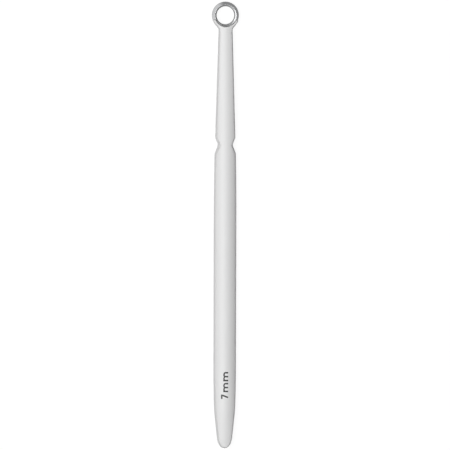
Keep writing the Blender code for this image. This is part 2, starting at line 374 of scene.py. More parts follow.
@dataclass(frozen=True)
class HandleForm:
    """Sizes of the moulded handle and the curves that give its form."""

    tool: ToolFrame
    ring: RingSection
    nose_length: float = 4.2 * MM
    nose_thickness: float = 4.4 * MM
    tip_thickness: float = 3.4 * MM
    taper_length: float = 12.5 * MM
    taper_width: float = 6.9 * MM
    taper_angle: float = math.radians(6.05)
    grip_width: float = 7.38 * MM
    swell_length: float = 14.5 * MM
    shoulder_length: float = 22.4 * MM
    shoulder_width: float = 6.96 * MM
    thickness: float = 5.6 * MM
    waist_width: float = 4.94 * MM
    waist_rise: float = 2.3 * MM
    waist_fall: float = 2.85 * MM
    waist_rounding: float = 0.12
    neck_length: float = 35.35 * MM
    neck_base_width: float = 6.6 * MM
    neck_top_width: float = 4.52 * MM
    neck_base_thickness: float = 5.2 * MM
    neck_top_thickness: float = 3.6 * MM
    yoke_thickness: float = 3.4 * MM
    yoke_overhang: float = 0.17 * MM
    flare_angle: float = math.radians(38.5)
    arm_angle: float = math.radians(69.0)
    crown_radius: float = 4.5 * MM
    side_draft: float = math.radians(14.0)
    edge_power: int = 8
    lip_setback: float = 0.2 * MM
    back_cut: float = 0.2 * MM
    back_softness: float = 0.03 * MM
    rest_start: float = 13.5 * MM
    rest_setback: float = 6.25 * MM
    corner_softness: float = 0.06 * MM
    fillet_reach: float = 0.45 * MM
    blend_reach: float = 1.2 * MM
    blend_steps: int = 9
    slope_step: float = 0.01 * MM

    @property
    def taper_slope(self) -> float:
        """Half width that the tapered end gains per length."""
        return math.tan(self.taper_angle)

    @property
    def nose_line(self) -> float:
        """Half width of the taper's straight sides, drawn on to the widest place of the nose."""
        return self.taper_width / 2 - self.taper_slope * (self.taper_length - self.nose_length)

    @property
    def nose_end(self) -> float:
        """Where the nose's ellipse meets the taper's straight side as a tangent."""
        return self.nose_length * (1 - self.nose_length * self.taper_slope / self.nose_line)

    @property
    def nose_breadth(self) -> float:
        """Half width of the nose's ellipse at its middle, such that the taper's sides touch it."""
        return math.sqrt(self.nose_line**2 - (self.nose_length * self.taper_slope) ** 2)

    @property
    def neck_slope(self) -> float:
        """Half width that the neck loses per length, toward the ring."""
        return (self.neck_base_width - self.neck_top_width) / 2 / self.neck_length

    @property
    def yoke_radius(self) -> float:
        """Radius of the arms' outside about the ring's centre."""
        return self.tool.ring_radius + self.yoke_overhang

    @property
    def flare_top(self) -> float:
        """Where the flare's side meets the arms' outside."""
        return self.tool.ring_centre - self.yoke_radius * math.sin(self.flare_angle)

    @property
    def neck_top(self) -> float:
        """Where the neck's side meets the flare's side."""
        run = self.yoke_radius * math.cos(self.flare_angle) - self.neck_top_width / 2
        return self.flare_top - run / math.tan(self.flare_angle)

    @property
    def neck_base(self) -> float:
        """Where the neck begins above the waist."""
        return self.neck_top - self.neck_length

    @property
    def waist(self) -> float:
        """The narrowest place of the waist."""
        return self.neck_base - self.waist_rise

    @property
    def shoulder(self) -> float:
        """Where the grip ends below the waist."""
        return self.waist - self.waist_fall

    @property
    def arm_top(self) -> float:
        """How far up the ring the arms reach."""
        return self.tool.ring_centre - self.yoke_radius * math.cos(self.arm_angle)

    @property
    def yoke_start(self) -> float:
        """Where the neck's grid ends and the yoke's begins, just below the flare's fillet."""
        return self.neck_top - self.fillet_reach

    @property
    def lip_radius(self) -> float:
        """Radius of the lips that lap over the ring."""
        return self.ring.cutting_radius + self.lip_setback

    def nose_half_width(self, along: np.ndarray) -> np.ndarray:
        """Half width of the nose's ellipse."""
        share = np.clip(1 - along / self.nose_length, 0.0, 1.0)
        return self.nose_breadth * np.sqrt(1 - share**2)

    def lower_half_width(self, along: np.ndarray) -> np.ndarray:
        """Half width below the waist: a straight taper, then a grip that swells by parabolas.

        Args:
            along: s of each place.

        Returns:
            The half width at each place.
        """
        taper = self.taper_width / 2 - self.taper_slope * (self.taper_length - along)
        swell = np.maximum(self.taper_length + self.swell_length - along, 0.0) / self.swell_length
        fall = np.maximum(along - self.shoulder + self.shoulder_length, 0.0) / self.shoulder_length
        grip = self.grip_width / 2
        grip = grip - (self.grip_width - self.taper_width) / 2 * swell**2
        grip = grip - (self.grip_width - self.shoulder_width) / 2 * fall**2
        rounded = soft_min(taper, grip, self.corner_softness)
        return np.where(along < self.nose_end, self.nose_half_width(along), rounded)

    def neck_half_width(self, along: np.ndarray) -> np.ndarray:
        """Half width of the neck's straight taper, also where it is drawn on into the yoke."""
        return self.neck_top_width / 2 + self.neck_slope * (self.neck_top - along)

    def upper_half_width(self, along: np.ndarray) -> np.ndarray:
        """Half width above the waist: the neck, a straight flare, and the arms' round outside.

        Args:
            along: s of each place.

        Returns:
            The half width at each place.
        """
        ramp = soft_ramp(along - self.neck_top, self.fillet_reach)
        flared = self.neck_half_width(along) + (math.tan(self.flare_angle) + self.neck_slope) * ramp
        drop = np.clip(self.tool.ring_centre - along, 0.0, self.yoke_radius)
        return np.where(along < self.flare_top, flared, np.sqrt(self.yoke_radius**2 - drop**2))

    def half_width(self, along: np.ndarray) -> np.ndarray:
        """Half width anywhere, with the waist's notch: a V whose bottom is a hyperbola.

        Args:
            along: s of each place.

        Returns:
            The half width at each place.
        """
        above = along > self.waist
        reach = np.where(above, self.waist_rise, self.waist_fall)
        rim = np.where(above, self.neck_base_width, self.shoulder_width) / 2
        blunt = self.waist_rounding
        depth = np.hypot((along - self.waist) / reach, blunt) - blunt
        depth = depth / (math.hypot(1.0, blunt) - blunt)
        notch = self.waist_width / 2 + (rim - self.waist_width / 2) * depth
        plain = np.where(above, self.upper_half_width(along), self.lower_half_width(along))
        return np.where(along < self.nose_end, plain, soft_min(plain, notch, self.corner_softness))

    def half_thickness(self, along: np.ndarray) -> np.ndarray:
        """Half thickness at the crown: straight stretches, averaged over a short window.

        Args:
            along: s of each place.

        Returns:
            The half thickness at each place.
        """
        places, values = np.array([
            (0.0, self.tip_thickness),
            (self.nose_end, self.nose_thickness),
            (self.taper_length, self.thickness),
            (self.shoulder, self.thickness),
            (self.neck_base, self.neck_base_thickness),
            (self.neck_top, self.neck_top_thickness),
            (self.arm_top, self.yoke_thickness),
        ]).T
        window = np.linspace(-self.blend_reach, self.blend_reach, self.blend_steps)
        return np.interp(along[..., None] + window, places, values / 2).mean(axis=-1)

    def back_plane(self, along: np.ndarray) -> np.ndarray:
        """Depth of the planes that cut the back, below the middle plane.

        They lie on the table under the grip and rise from it to the nose and along the neck.

        Args:
            along: s of each place.

        Returns:
            The depth at each place.
        """
        places, values = np.array([
            (self.nose_length, self.nose_thickness),
            (self.rest_start, self.thickness),
            (self.shoulder - self.rest_setback, self.thickness),
            (self.neck_top, self.neck_top_thickness),
        ]).T
        return np.interp(along, places, values / 2 - self.back_cut)

    def inset(self, across: np.ndarray, along: np.ndarray) -> np.ndarray:
        """Distance of each point from the outline, seen from the front.

        In the nose it is the distance from the ellipse: 1 less the point's share of the way to
        it, by the slope of that share. Elsewhere it is the distance sideways times the cosine of
        the outline's slope.

        Args:
            across: x of each point.
            along: s of each point.

        Returns:
            The distances, 0 on the outline.
        """
        step = self.slope_step
        slope = (self.half_width(along + step) - self.half_width(along - step)) / (2 * step)
        sideways = (self.half_width(along) - np.abs(across)) / np.hypot(1.0, slope)
        ahead = np.clip(1 - along / self.nose_length, 0.0, 1.0)
        reach = np.hypot(across / self.nose_breadth, ahead)
        pull = np.hypot(across / self.nose_breadth**2, ahead / self.nose_length)
        round_nose = (1 - reach) * reach / np.maximum(pull, TINY)
        return np.maximum(np.where(along < self.nose_end, round_nose, sideways), 0.0)

    def height(self, across: np.ndarray, along: np.ndarray) -> np.ndarray:
        """Height of the front above the middle plane.

        The crown is a circle across the tool, which the yoke draws out sideways in the share by
        which it is wider than the neck. The side's wall rises from the outline at its draft. The
        front is their product by the eighth root of the sum of their eighth powers, which is
        the lower of the two with a rounded edge between them.

        Args:
            across: x of each point.
            along: s of each point.

        Returns:
            The height of each point.
        """
        widening = self.half_width(along) / self.neck_half_width(along)
        spread = np.where(along > self.yoke_start, widening, 1.0)
        offset = np.clip(across / spread, -self.crown_radius, self.crown_radius)
        crown = self.half_thickness(along) - self.crown_radius
        crown = crown + np.sqrt(self.crown_radius**2 - offset**2)
        wall = self.inset(across, along) / math.tan(self.side_draft)
        power = self.edge_power
        return crown * wall / (crown**power + wall**power) ** (1 / power)


@dataclass(frozen=True)
class MouldedHandle:
    """The handle's surface: one grid from the nose to the neck's top, and the yoke's sheets."""

    form: HandleForm
    side_steps: int = 64
    parting_steps: tuple[float, ...] = (0.018, 0.034, 0.072)
    nose_turn: float = 1.35
    nose_steps: int = 34
    nose_gap: float = 0.2 * MM
    taper_step: float = 0.35 * MM
    grip_step: float = 0.6 * MM
    waist_step: float = 0.14 * MM
    neck_step: float = 0.5 * MM
    mark_step: float = 0.1 * MM
    least_step: float = 0.05 * MM
    bend_margin: float = 2 * MM
    waist_margin: float = 3 * MM
    flash_height: float = 0.015 * MM
    flash_width: float = 0.03 * MM
    flash_fade: float = 3 * MM
    mark_places: tuple[float, ...] = (30 * MM, 60 * MM, 88 * MM)
    mark_radius: float = 1.1 * MM
    mark_depth: float = 0.06 * MM
    mark_wall: float = 0.12 * MM
    outline_steps: int = 44
    ray_steps: int = 26
    groove_steps: tuple[int, ...] = (3, 5, 2, 5, 3)
    lip_rounding: float = 0.28 * MM
    back_rounding: float = 0.5
    seat_gap: float = 0.01 * MM
    arm_rounding: float = math.radians(9.0)
    arm_blunt: float = 0.97
    crease: float = 38.0

    def section_angles(self) -> np.ndarray:
        """Angles over the front, from the right side to the left, closer at the parting line.

        Returns:
            The angles, in order.
        """
        first = math.pi / self.side_steps
        even = np.linspace(first, math.pi - first, self.side_steps - 1)
        near = np.array(self.parting_steps)
        return np.sort(np.concatenate([[0.0, math.pi], near, even, math.pi - near]))

    def stations(self) -> np.ndarray:
        """Places along the tool for the sections, closer where the form changes quickly.

        In the nose they stand at its length times 1 less the cosine of even angles.

        Returns:
            The places, in order.
        """
        form = self.form
        nose = form.nose_length * (1 - np.cos(np.linspace(0.0, self.nose_turn, self.nose_steps)))
        grip = form.taper_length + self.bend_margin
        waist = form.shoulder - self.waist_margin
        neck = form.neck_base + self.bend_margin
        runs = [
            (nose[-1] + self.nose_gap, grip, self.taper_step),
            (grip, waist, self.grip_step),
            (waist, neck, self.waist_step),
            (neck, form.yoke_start, self.neck_step),
        ]
        reach = self.mark_radius + 3 * self.mark_wall
        runs += [(place - reach, place + reach, self.mark_step) for place in self.mark_places]
        stretches = [nose, *(np.arange(*run) for run in runs), [form.yoke_start]]
        places = np.unique(np.round(np.concatenate(stretches), 7))
        return places[np.concatenate([[True], np.diff(places) > self.least_step])]

    def ejector_depth(self, across: np.ndarray, along: np.ndarray) -> np.ndarray:
        """Depth of the round marks in the back: a flat floor with a short smooth wall.

        Args:
            across: x of each point.
            along: s of each point.

        Returns:
            The depth at each point.
        """
        depth = np.zeros(np.broadcast(across, along).shape)
        for place in self.mark_places:
            inside = self.mark_radius - np.hypot(across, along - place)
            depth += self.mark_depth * smooth_step(inside / self.mark_wall + 0.5)
        return depth

    def body_points(self) -> np.ndarray:
        """Points of the sections from the nose to the neck's top.

        x is the half width times the cosine of the angle. z is the front's height, and on the
        back its negative, cut level with the table. A low ridge stands on the parting line.

        Returns:
            Sections by points round them by 3.
        """
        form = self.form
        along = self.stations()[:, None]
        front_x = form.half_width(along) * np.cos(self.section_angles())
        front_z = form.height(front_x, along)
        back_x = -front_x[:, 1:-1]
        back_z = soft_min(front_z[:, 1:-1], form.back_plane(along), form.back_softness)
        back_z = self.ejector_depth(back_x, along) - back_z
        across = np.hstack([front_x, back_x])
        height = np.hstack([front_z, back_z])
        fade = smooth_step((form.yoke_start - along) / self.flash_fade)
        fade = fade * smooth_step(along / self.flash_fade)
        ridge = self.flash_height * np.exp(-((height / self.flash_width) ** 2)) * fade
        return form.tool.place(across + np.sign(across) * ridge, along, height)

    def yoke_rays(self) -> tuple[np.ndarray, np.ndarray, np.ndarray]:
        """Rays from the yoke's outline to the lip, all pointing at the ring's centre.

        They start at the neck's last section and along both outlines up to the arms' ends. Near
        its end an arm draws in to the ring's side by the root of 1 less a square.

        Returns:
            Polar angle and outer radius of each ray, and its share of the arm's full form.
        """
        form = self.form
        centre = form.tool.ring_centre
        start = form.yoke_start
        along = start + (form.arm_top - start) * np.linspace(0.0, 1.0, self.outline_steps + 1)[1:]
        side = form.half_width(along)
        neck = form.half_width(np.array(start)) * np.cos(self.section_angles())
        across = np.concatenate([side[::-1], neck, -side])
        along = np.concatenate([along[::-1], np.full(neck.shape, start), along])
        angle = np.arctan2(across, centre - along)
        radius = np.hypot(across, centre - along)
        past = (np.abs(angle) - form.arm_angle + self.arm_rounding) / self.arm_rounding
        share = np.sqrt(1 - (np.clip(past, 0.0, 1.0) * self.arm_blunt) ** 2)
        seat = form.tool.ring_radius + self.seat_gap
        radius = np.where(past > 0, seat + (radius - seat) * share, radius)
        return angle, radius, share

    def yoke_sheets(self, angle: np.ndarray, outer: np.ndarray, share: np.ndarray) -> list[np.ndarray]:
        """The yoke's front and back, along the rays from its outline to the lips.

        Both take their heights from the handle's form. The front rounds down to its lip by a
        quarter circle and the back by a share of it, and both sink to the ring's own surface
        toward the arms' ends.

        Args:
            angle: Polar angle of each ray, as a column.
            outer: Outer radius of each ray.
            share: Share of the arm's full form at each ray.

        Returns:
            Radius of each point, and its z on the front and on the back, as rays by steps.
        """
        form = self.form
        tool = form.tool
        step = (1 - np.cos(math.pi * np.linspace(0.0, 1.0, self.ray_steps + 1))) / 2
        radius = outer + (form.lip_radius - outer) * step
        along = tool.ring_centre - radius * np.cos(angle)
        full = form.height(radius * np.sin(angle), along)
        near = np.clip((radius - form.lip_radius) / self.lip_rounding, 0.0, 1.0)
        lowered = self.lip_rounding * (1 - np.sqrt(1 - (1 - near) ** 2))
        seat = form.ring.bevel_height(radius, tool) + self.seat_gap
        front = seat + (full - lowered - seat) * share
        behind = soft_min(full, form.back_plane(along), form.back_softness)
        behind = behind - lowered * self.back_rounding
        floor = -tool.ring_height / 2 - self.seat_gap
        back = floor - (behind + floor) * share
        on_side = np.abs(along[:, :1] - form.yoke_start) > WELD_DISTANCE
        shared = form.ring.bevel_height(tool.ring_radius, tool) * (1 - share)
        front[:, :1] = np.where(on_side, shared, front[:, :1])
        back[:, :1] = np.where(on_side, shared, back[:, :1])
        return [radius, front, back]

    def groove(self, angle: np.ndarray, front_lip: np.ndarray, back_lip: np.ndarray) -> np.ndarray:
        """The groove that grips the ring, from the front lip round the ring to the back lip.

        Its profile is six corners joined by straight stretches, each cut into its own number of
        steps.

        Args:
            angle: Polar angle of each ray, as a column.
            front_lip: Height of the front lip at each ray.
            back_lip: Height of the back lip at each ray.

        Returns:
            Rays by points of the profile by 3.
        """
        form = self.form
        tool = form.tool
        lip = form.lip_radius
        side = tool.ring_radius + self.seat_gap
        lip_seat = form.ring.bevel_height(lip, tool) + self.seat_gap
        foot = form.ring.bevel_height(tool.ring_radius, tool)
        floor = -tool.ring_height / 2 - self.seat_gap
        fixed = np.tile([lip_seat, foot, floor, floor], (len(angle), 1))
        corner_radius = np.array([lip, lip, side, side, lip, lip])
        corner_height = np.hstack([front_lip, fixed, back_lip])
        stretches = [index + np.arange(count) / count for index, count in enumerate(self.groove_steps)]
        stops = np.concatenate([*stretches, [len(self.groove_steps)]])
        before = np.minimum(stops.astype(int), len(self.groove_steps) - 1)
        part = stops - before
        radius = corner_radius[before] * (1 - part) + corner_radius[before + 1] * part
        height = corner_height[:, before] * (1 - part) + corner_height[:, before + 1] * part
        return tool.round_ring(radius, angle, height)

    def add_yoke(self, surface: Surface) -> None:
        """Add the yoke's front, its back, the groove that grips the ring, and the arms' ends.

        Args:
            surface: The surface that already holds the handle's grid.
        """
        angle, outer, share = (item[:, None] for item in self.yoke_rays())
        radius, front_z, back_z = self.yoke_sheets(angle, outer, share)
        front = self.form.tool.round_ring(radius, angle, front_z)
        back = self.form.tool.round_ring(radius, angle, back_z)
        groove = self.groove(angle, front_z[:, -1:], back_z[:, -1:])
        for sheet in (front, back, groove):
            surface.add_grid(sheet)
        for end in (0, -1):
            surface.add_polygon(np.concatenate([front[end], groove[end][1:], back[end][-2:0:-1]]))

    def build(self) -> bpy.types.Object:
        """Weld the grid and the yoke into one closed moulding.

        Returns:
            The handle.
        """
        surface = Surface()
        surface.add_grid(self.body_points(), closed=True)
        self.add_yoke(surface)
        return surface.build("moulded_handle", self.crease)


@dataclass(frozen=True)
class SizeMark:
    """The ring size, printed small and plain along the grip: a figure and its unit."""

    form: HandleForm
    start: float = 16.6 * MM
    stroke: float = 0.48 * MM
    figure_height: float = 2.3 * MM
    figure_width: float = 1.45 * MM
    foot_share: float = 0.32
    letter_height: float = 1.6 * MM
    letter_gap: float = 0.55 * MM
    word_gap: float = 1.0 * MM
    arch_share: float = 0.42
    stem_share: float = 1.9
    ink: float = 0.012 * MM
    lift: float = 0.0006 * MM
    lap: float = 0.08 * MM
    step: float = 0.05 * MM
    arch_steps: int = 49
    width_steps: int = 7
    crease: float = 30.0

    @property
    def arch_height(self) -> float:
        """Height of a letter's arch, over its stroke."""
        return self.arch_share * self.letter_height

    @property
    def stem_gap(self) -> float:
        """Distance between the centre lines of two stems of a letter."""
        return self.stem_share * self.arch_height

    def letter_m(self, start: float) -> list[np.ndarray]:
        """Centre lines of a small m: three stems and two half round arches.

        Args:
            start: Where the letter begins along the line of print.

        Returns:
            One path for each stem and arch, as points of (reading direction, up).
        """
        rise = self.letter_height - self.arch_height
        turn = np.linspace(math.pi, 0.0, self.arch_steps)
        arch_x = self.stem_gap / 2 * (1 + np.cos(turn))
        arch_y = rise + (self.arch_height - self.stroke / 2) * np.sin(turn)
        stems = start + self.stem_gap * np.arange(3)
        tops = (self.letter_height, rise + self.lap, rise + self.lap)
        paths = [np.array([[left, 0.0], [left, top]]) for left, top in zip(stems, tops)]
        return paths + [np.stack([left + arch_x, arch_y], axis=1) for left in stems[:2]]

    def paths(self) -> list[np.ndarray]:
        """Centre lines of all strokes.

        Returns:
            The paths, in the order in which they are read.
        """
        tall = self.figure_height
        wide = self.figure_width
        top = tall - self.stroke / 2
        foot = wide * self.foot_share
        lean = math.atan2(wide - self.stroke / 2 - foot, top)
        head = wide - self.stroke / 2 * math.cos(lean)
        seven = [
            np.array([[0.0, top], [wide, top]]),
            np.array([[head, tall - self.stroke + self.lap], [foot, 0.0]]),
        ]
        first = wide + self.word_gap
        second = first + 2 * self.stem_gap + self.letter_gap + self.stroke
        return seven + self.letter_m(first) + self.letter_m(second)

    def ribbon(self, path: np.ndarray) -> np.ndarray:
        """A stroke of even width along a path, its ends square.

        Args:
            path: Points of (reading direction, up).

        Returns:
            Points along the path by points across the stroke by 2.
        """
        lengths = np.concatenate([[0.0], np.cumsum(np.linalg.norm(np.diff(path, axis=0), axis=1))])
        count = max(2, int(lengths[-1] / self.step))
        places = np.linspace(0.0, lengths[-1], count + 1)
        line = np.stack([np.interp(places, lengths, path[:, axis]) for axis in range(2)], axis=1)
        ahead = np.gradient(line, axis=0)
        ahead /= np.linalg.norm(ahead, axis=1, keepdims=True)
        normal = np.stack([-ahead[:, 1], ahead[:, 0]], axis=1) * self.stroke / 2
        share = np.linspace(-1.0, 1.0, self.width_steps)[None, :, None]
        return line[:, None, :] + normal[:, None, :] * share

    def build(self) -> bpy.types.Object:
        """Lay each stroke on the crown as a film of ink, closed all round.

        The film's top follows the handle's height at each point, and its underside lies just
        inside the plastic. Each stroke lies a hair above the one before it where they cross.

        Returns:
            The print.
        """
        surface = Surface()
        for index, path in enumerate(self.paths()):
            reading, up = np.moveaxis(self.ribbon(path), -1, 0)
            along = self.start + reading
            across = self.letter_height / 2 - up
            height = self.form.height(across, along) + self.lift * index
            top = self.form.tool.place(across, along, height + self.ink)
            under = self.form.tool.place(across, along, height - self.ink)
            surface.add_grid(top)
            surface.add_grid(under)
            for rim in (np.s_[0], np.s_[-1], np.s_[:, 0], np.s_[:, -1]):
                surface.add_grid(np.stack([top[rim], under[rim]]))
        return surface.build("size_mark", self.crease)


class Signal:
    """A value in a shader. Python's operators on it add the nodes that work the result out."""

    def __init__(self, wiring: "Wiring", socket: bpy.types.NodeSocket) -> None:
        """Wrap a socket of a node tree."""
        self.wiring = wiring
        self.socket = socket

    def __add__(self, other: "Signal | float") -> "Signal":
        """Sum."""
        return self.wiring.maths("ADD", self, other)

    def __radd__(self, other: float) -> "Signal":
        """Sum, with the number first."""
        return self.wiring.maths("ADD", other, self)

    def __sub__(self, other: "Signal | float") -> "Signal":
        """Difference."""
        return self.wiring.maths("SUBTRACT", self, other)

    def __rsub__(self, other: float) -> "Signal":
        """Difference from a number."""
        return self.wiring.maths("SUBTRACT", other, self)

    def __mul__(self, other: "Signal | float") -> "Signal":
        """Product."""
        return self.wiring.maths("MULTIPLY", self, other)

    def __rmul__(self, other: float) -> "Signal":
        """Product, with the number first."""
        return self.wiring.maths("MULTIPLY", other, self)

    def __truediv__(self, other: "Signal | float") -> "Signal":
        """Quotient."""
        return self.wiring.maths("DIVIDE", self, other)

    def __rtruediv__(self, other: float) -> "Signal":
        """Quotient of a number by this value."""
        return self.wiring.maths("DIVIDE", other, self)

    def power(self, exponent: float) -> "Signal":
        """This value to a power."""
        return self.wiring.maths("POWER", self, exponent)

    def clamped(self) -> "Signal":
        """This value held between 0 and 1."""
        return self.wiring.maths("MAXIMUM", self.wiring.maths("MINIMUM", self, 1.0), 0.0)


class Wiring:
    """A node tree under construction."""

    def __init__(self, tree: bpy.types.NodeTree) -> None:
        """Take the tree that the nodes go into."""
        self.tree = tree

    def node(self, kind: str, settings: dict | None = None, **inputs: object) -> bpy.types.Node:
        """Add a node.

        Args:
            kind: The node's type.
            settings: Its own settings, such as an operation, which are set first.
            inputs: Values or signals for its sockets, by name with _ for a space.

        Returns:
            The node.
        """
        made = self.tree.nodes.new(kind)
        for key, value in (settings or {}).items():
            setattr(made, key, value)
        for key, value in inputs.items():
            self.feed(made.inputs[key.replace("_", " ")], value)
        return made

    def feed(self, socket: bpy.types.NodeSocket, value: object) -> None:
        """Link a signal or an output to a socket, or set the socket's own value.

        Args:
            socket: The input that is fed.
            value: A signal, an output, or a plain value.
        """
        if isinstance(value, Signal):
            value = value.socket
        if isinstance(value, bpy.types.NodeSocket):
            self.tree.links.new(value, socket)
        else:
            socket.default_value = value

    def maths(self, operation: str, first: object, second: object) -> Signal:
        """Add a Math node.

        Args:
            operation: What it does.
            first: Its first value or signal.
            second: Its second one.

        Returns:
            Its result.
        """
        made = self.node("ShaderNodeMath", {"operation": operation})
        self.feed(made.inputs[0], first)
        self.feed(made.inputs[1], second)
        return Signal(self, made.outputs[0])

    def vector_maths(self, operation: str, vector: object, constant: Triple) -> bpy.types.Node:
        """Add a Vector Math node.

        Args:
            operation: What it does.
            vector: The vector's socket.
            constant: The fixed vector that it is worked out with.

        Returns:
            The node.
        """
        made = self.node("ShaderNodeVectorMath", {"operation": operation})
        self.feed(made.inputs[0], vector)
        self.feed(made.inputs[1], constant)
        return made

    def coordinates(self) -> bpy.types.NodeSocket:
        """The object's own coordinates, in metres."""
        return self.node("ShaderNodeTexCoord").outputs["Object"]

    def shifted(self, vector: object, offset: Triple) -> bpy.types.NodeSocket:
        """A vector with a constant one added."""
        return self.vector_maths("ADD", vector, offset).outputs["Vector"]

    def stretched(self, vector: object, scale: Triple) -> bpy.types.NodeSocket:
        """A vector with each coordinate multiplied by its scale."""
        return self.vector_maths("MULTIPLY", vector, scale).outputs["Vector"]

    def dot(self, vector: object, axis: Triple) -> Signal:
        """The dot product of a vector and a constant one."""
        return Signal(self, self.vector_maths("DOT_PRODUCT", vector, axis).outputs["Value"])

    def noise(self, vector: object, size: float, detail: float = 3.0, rough: float = 0.5) -> Signal:
        """Smooth noise from 0 to 1.

        Args:
            vector: Coordinates that it is read at.
            size: Size of its features in the coordinates' unit.
            detail: Number of finer layers.
            rough: Strength of the finer layers.

        Returns:
            The noise.
        """
        inputs = {"Vector": vector, "Scale": 1 / size, "Detail": detail, "Roughness": rough}
        return Signal(self, self.node("ShaderNodeTexNoise", **inputs).outputs["Fac"])

    def mixed(self, share: object, first: Triple, second: Triple) -> bpy.types.NodeSocket:
        """A colour between two colours.

        The Mix node keeps a set of sockets for each kind of value, so its colours are told apart
        from the others of the same name by their place.

        Args:
            share: 0 for the first colour, 1 for the second.
            first: One colour.
            second: The other.

        Returns:
            The colour's socket.
        """
        made = self.node("ShaderNodeMix", {"data_type": "RGBA"}, Factor=share)
        made.inputs[6].default_value = (*first, 1.0)
        made.inputs[7].default_value = (*second, 1.0)
        return made.outputs[2]

    def ray(self, kind: str) -> Signal:
        """1 where a ray is of the named kind, else 0."""
        return Signal(self, self.node("ShaderNodeLightPath").outputs["Is %s Ray" % kind])

    def shown(self) -> Signal:
        """1 for a ray that shows a surface to the camera, directly or in gloss or glass."""
        either = self.maths("MAXIMUM", self.ray("Camera"), self.ray("Glossy"))
        return self.maths("MAXIMUM", either, self.ray("Transmission"))


class Paint(Wiring):
    """A material under construction."""

    def __init__(self, name: str) -> None:
        """Start a material with its Principled shader and output.

        Args:
            name: The material's name.
        """
        self.material = bpy.data.materials.new(name)
        self.material.use_nodes = True
        super().__init__(self.material.node_tree)
        self.shader = self.tree.nodes["Principled BSDF"]

    def relief(self, height: Signal, depth: float) -> None:
        """Use a height signal from 0 to 1 as relief of the given depth in metres."""
        made = self.node("ShaderNodeBump", Strength=1.0, Distance=depth, Height=height)
        self.feed(self.shader.inputs["Normal"], made.outputs["Normal"])

    def set(self, **values: object) -> None:
        """Set inputs of the Principled shader, by name with _ for a space."""
        for key, value in values.items():
            self.feed(self.shader.inputs[key.replace("_", " ")], value)


@dataclass(frozen=True)
class MouldedPlastic:
    """White plastic as it leaves a fine textured mould: satin, and faintly uneven."""

    grey: float = 0.80
    mottle: float = 0.015
    roughness: float = 0.50
    refraction: float = 1.52
    cloud_size: float = 6 * MM
    cloud_stretch: Triple = (1.0, 0.25, 1.0)
    cloud_gloss: float = 0.10
    grain_size: float = 0.16 * MM
    grain_rough: float = 0.6
    grain_gloss: float = 0.08
    grain_depth: float = 0.0022 * MM
    detail: float = 2.0

    def material(self) -> bpy.types.Material:
        """Mix soft clouds of grey and gloss with a fine grain.

        Returns:
            The material.
        """
        paint = Paint("moulded_plastic")
        place = paint.coordinates()
        drawn_out = paint.stretched(place, self.cloud_stretch)
        cloud = paint.noise(drawn_out, self.cloud_size, self.detail)
        grain = paint.noise(place, self.grain_size, self.detail, self.grain_rough)
        dark = (self.grey - self.mottle,) * 3
        pale = (self.grey + self.mottle,) * 3
        uneven = (cloud - 0.5) * self.cloud_gloss
        paint.set(
            Base_Color=paint.mixed(cloud, dark, pale),
            Roughness=self.roughness + uneven + (grain - 0.5) * self.grain_gloss,
            IOR=self.refraction,
        )
        paint.relief(grain, self.grain_depth)
        return paint.material


@dataclass(frozen=True)
class GroundSteel:
    """Stainless steel ground all round the ring, with fine lines that run with the wheel."""

    tool: ToolFrame
    section: RingSection
    bright: Triple = (0.55, 0.555, 0.56)
    # The dull grey serves both the grinding marks and the painted shade along the outside and the
    # bore.
    dull: Triple = (0.22, 0.22, 0.225)
    grind: float = 0.25
    # Painted shade: how far the colour darkens next to the outside and the bore, and the width of that
    # band.
    rim_painted_shade: float = 0.75
    rim_painted_shade_width: float = 0.16 * MM
    roughness: float = 0.32
    line_size: float = 0.035 * MM
    line_reach: float = 0.12 * MM
    line_rough: float = 0.65
    line_share: float = 0.6
    line_gloss: float = 0.16
    line_depth: float = 0.0012 * MM
    cloud_size: float = 1.4 * MM
    cloud_share: float = 0.4
    cloud_gloss: float = 0.08
    cloud_detail: float = 2.0

    def material(self) -> bpy.types.Material:
        """Read noise by radius and height about the ring's axis, so that it runs in circles.

        The faces are bright where the wheel ran; next to the outside and the bore the colour is
        darkened toward the dull grey, which is painted shade along the rims.

        Returns:
            The material.
        """
        paint = Paint("ground_steel")
        local = paint.shifted(paint.coordinates(), tuple(-self.tool.ring_middle()))
        split = paint.node("ShaderNodeSeparateXYZ", Vector=local)
        x, y, z = (Signal(paint, split.outputs[axis]) for axis in "XYZ")
        radius = (x * x + y * y).power(0.5)
        turn = paint.maths("ARCTAN2", y, x) * self.line_reach
        rings = paint.node("ShaderNodeCombineXYZ", X=radius, Y=z, Z=turn)
        lines = paint.noise(rings.outputs["Vector"], self.line_size, rough=self.line_rough)
        cloud = paint.noise(local, self.cloud_size, self.cloud_detail)
        # Painted shade: the colour darkens toward the dull grey in a band along the outside and along
        # the bore.
        outside = (radius - (self.tool.ring_radius - self.rim_painted_shade_width)) / self.rim_painted_shade_width
        inside = (self.section.bore_radius + self.rim_painted_shade_width - radius) / self.rim_painted_shade_width
        rim_painted_shade = paint.maths("MAXIMUM", outside, inside).clamped() * self.rim_painted_shade
        marks = 1.0 - lines * self.line_share - cloud * self.cloud_share
        ground = 1.0 - marks * self.grind
        uneven = (lines - 0.5) * self.line_gloss
        paint.set(
            Base_Color=paint.mixed((ground * (1.0 - rim_painted_shade)).clamped(), self.dull, self.bright),
            Metallic=1.0,
            Roughness=self.roughness + uneven + (cloud - 0.5) * self.cloud_gloss,
        )
        paint.relief(lines, self.line_depth)
        return paint.material


